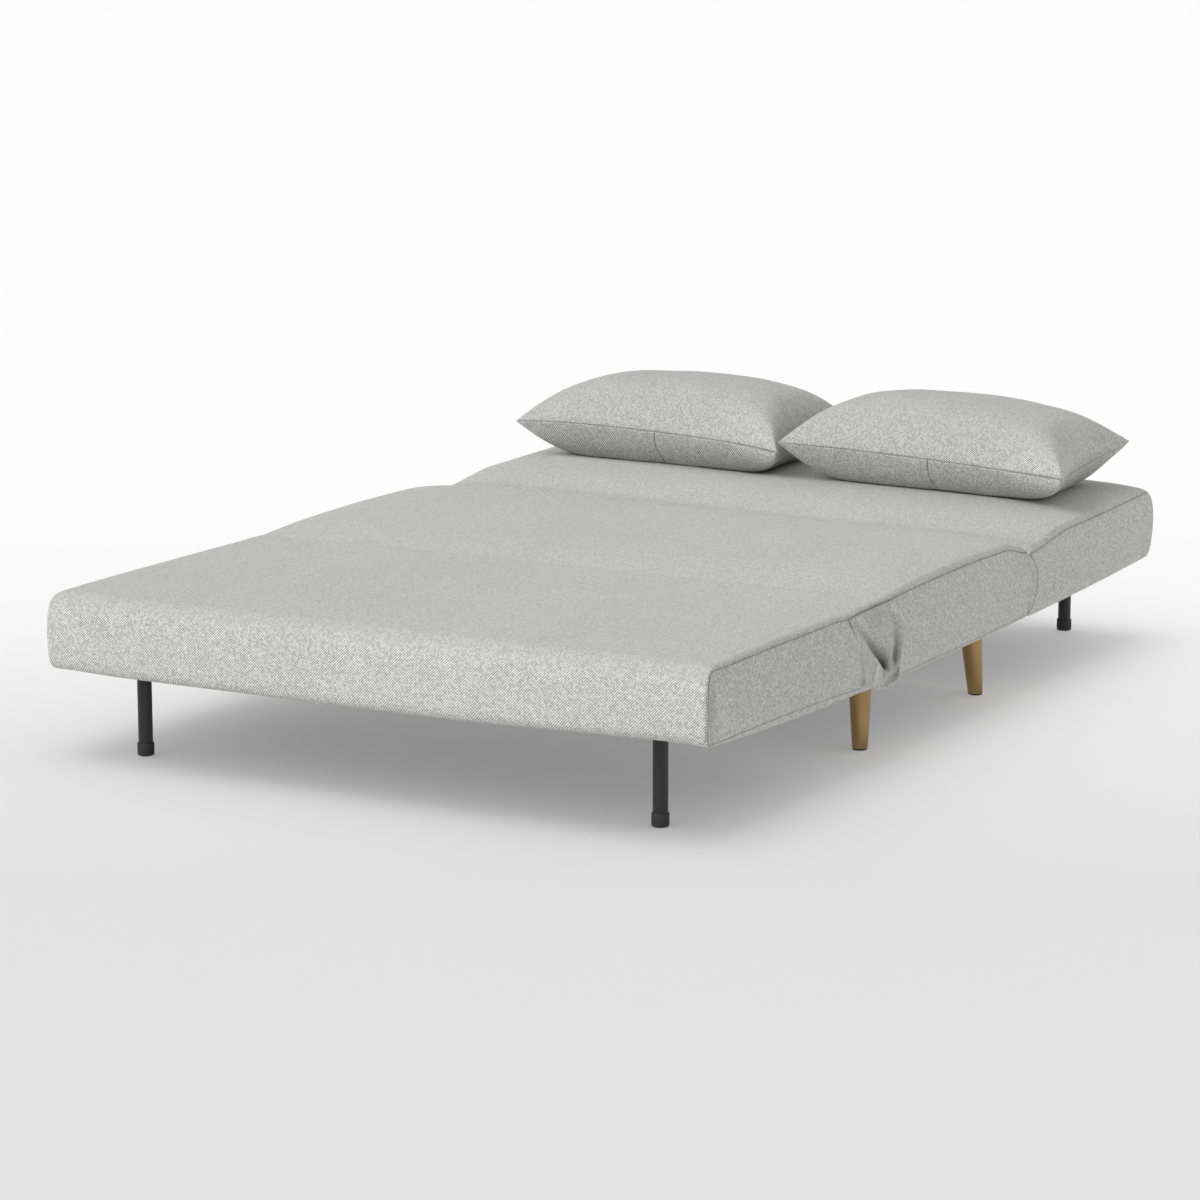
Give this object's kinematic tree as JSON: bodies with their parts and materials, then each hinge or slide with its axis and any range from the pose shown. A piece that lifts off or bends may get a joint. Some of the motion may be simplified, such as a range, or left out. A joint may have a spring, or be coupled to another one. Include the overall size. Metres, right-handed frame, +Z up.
{
  "type": "click clack sofa bed",
  "caption": "Click clack sofa bed laid flat: fold-over front, padded seat on splayed brass legs, reclining back, folding tube legs and loose pillows.",
  "frame": {"origin": "on the floor, under the middle of the whole bed, pillows included", "axes": "+X across the bed to the right-hand side seen from the front, +Y from the front to the head end, +Z up"},
  "size_m": [1.4494, 2.147, 0.5341],
  "materials": {
    "seat_cover_fabric": "coarse light grey basket weave, matt",
    "front_cover_fabric": "coarse light grey basket weave, matt",
    "back_cover_fabric": "coarse light grey basket weave, matt",
    "gather_fabric": "coarse light grey basket weave, matt, pleated",
    "pillow_fabric": "coarse light grey basket weave, matt",
    "pillow_filling": "white fibre pad in a thin cloth",
    "foam": "open-cell upholstery foam, cream",
    "underside_cloth": "thin black non-woven cloth",
    "frame_steel": "black powder coat",
    "slat_wood": "bent beech, clear sealed",
    "leg_brass": "brushed antique brass",
    "glide_plastic": "black, matt",
    "black_tube": "satin black powder coat",
    "cap_rubber": "black, matt",
    "hinge_steel": "zinc plated"
  },
  "bodies": {
    "seat": {"seat_cover": "seat_cover_fabric", "seat_foam": "foam", "seat_underside_cloth": "underside_cloth", "seat_frame_front_rail": "frame_steel", "seat_frame_rear_rail": "frame_steel", "seat_frame_left_rail": "frame_steel", "seat_frame_right_rail": "frame_steel", "seat_slat_1": "slat_wood", "seat_slat_2": "slat_wood", "seat_slat_3": "slat_wood", "brass_leg_front_left": "leg_brass", "glide_front_left": "glide_plastic", "brass_leg_front_right": "leg_brass", "glide_front_right": "glide_plastic", "brass_leg_rear_left": "leg_brass", "glide_rear_left": "glide_plastic", "brass_leg_rear_right": "leg_brass", "glide_rear_right": "glide_plastic", "fold_hinge_seat_arm_left": "hinge_steel", "click_clack_fixed_plate_left": "hinge_steel", "fold_gather_left": "gather_fabric", "fold_hinge_seat_arm_right": "hinge_steel", "click_clack_fixed_plate_right": "hinge_steel", "fold_gather_right": "gather_fabric"},
    "front": {"front_cover": "front_cover_fabric", "front_foam": "foam", "front_underside_cloth": "underside_cloth", "front_frame_front_rail": "frame_steel", "front_frame_rear_rail": "frame_steel", "front_frame_left_rail": "frame_steel", "front_frame_right_rail": "frame_steel", "front_slat_1": "slat_wood", "front_slat_2": "slat_wood", "front_slat_3": "slat_wood", "fold_hinge_front_arm_left": "hinge_steel", "fold_hinge_front_arm_right": "hinge_steel"},
    "front_legs": {"front_leg_loop": "black_tube", "front_leg_cap_left": "cap_rubber", "front_leg_cap_right": "cap_rubber"},
    "back": {"back_cover": "back_cover_fabric", "back_foam": "foam", "back_underside_cloth": "underside_cloth", "back_frame_front_rail": "frame_steel", "back_frame_rear_rail": "frame_steel", "back_frame_left_rail": "frame_steel", "back_frame_right_rail": "frame_steel", "back_slat_1": "slat_wood", "back_slat_2": "slat_wood", "back_slat_3": "slat_wood", "click_clack_moving_plate_left": "hinge_steel", "click_clack_moving_plate_right": "hinge_steel"},
    "rear_legs": {"rear_leg_loop": "black_tube", "rear_leg_cap_left": "cap_rubber", "rear_leg_cap_right": "cap_rubber"},
    "pawl_left": {"click_clack_pawl_left": "hinge_steel"},
    "pawl_right": {"click_clack_pawl_right": "hinge_steel"},
    "pillow_left": {"pillow_cover_left": "pillow_fabric", "pillow_pad_left": "pillow_filling"},
    "pillow_right": {"pillow_cover_right": "pillow_fabric", "pillow_pad_right": "pillow_filling"}
  },
  "joints": [
    {"name": "front_fold", "type": "hinge", "parent": "seat", "child": "front", "pos_m": [0, -0.3885, 0.316], "axis": [-1, 0, 0], "range_deg": [0, 170], "deforming": ["fold_gather_left", "fold_gather_right"]},
    {"name": "front_leg_fold", "type": "hinge", "parent": "front", "child": "front_legs", "pos_m": [0, -0.9688, 0.1955], "axis": [1, 0, 0], "range_deg": [0, 90]},
    {"name": "backrest_recline", "type": "hinge", "parent": "seat", "child": "back", "pos_m": [0, 0.4065, 0.24], "axis": [1, 0, 0], "range_deg": [0, 70]},
    {"name": "rear_leg_fold", "type": "hinge", "parent": "back", "child": "rear_legs", "pos_m": [0, 1.0155, 0.2035], "axis": [-1, 0, 0], "range_deg": [0, 90]},
    {"name": "pawl_left_lift", "type": "hinge", "parent": "back", "child": "pawl_left", "pos_m": [0, 0.4365, 0.226], "axis": [1, 0, 0], "range_deg": [0, 15], "stiffness_Nm_per_rad": 0.5, "springref_deg": -11.46},
    {"name": "pawl_right_lift", "type": "hinge", "parent": "back", "child": "pawl_right", "pos_m": [0, 0.4365, 0.226], "axis": [1, 0, 0], "range_deg": [0, 15], "stiffness_Nm_per_rad": 0.5, "springref_deg": -11.46},
    {"name": "pillow_left_lift", "type": "slide", "parent": "back", "child": "pillow_left", "axis": [0, 0, 1], "range_m": [0, 0.25]},
    {"name": "pillow_right_lift", "type": "slide", "parent": "back", "child": "pillow_right", "axis": [0, 0, 1], "range_m": [0, 0.25]}
  ],
  "couplings": [
    {"joint": "pawl_right_lift", "follows": "pawl_left_lift", "ratio": 1}
  ]
}
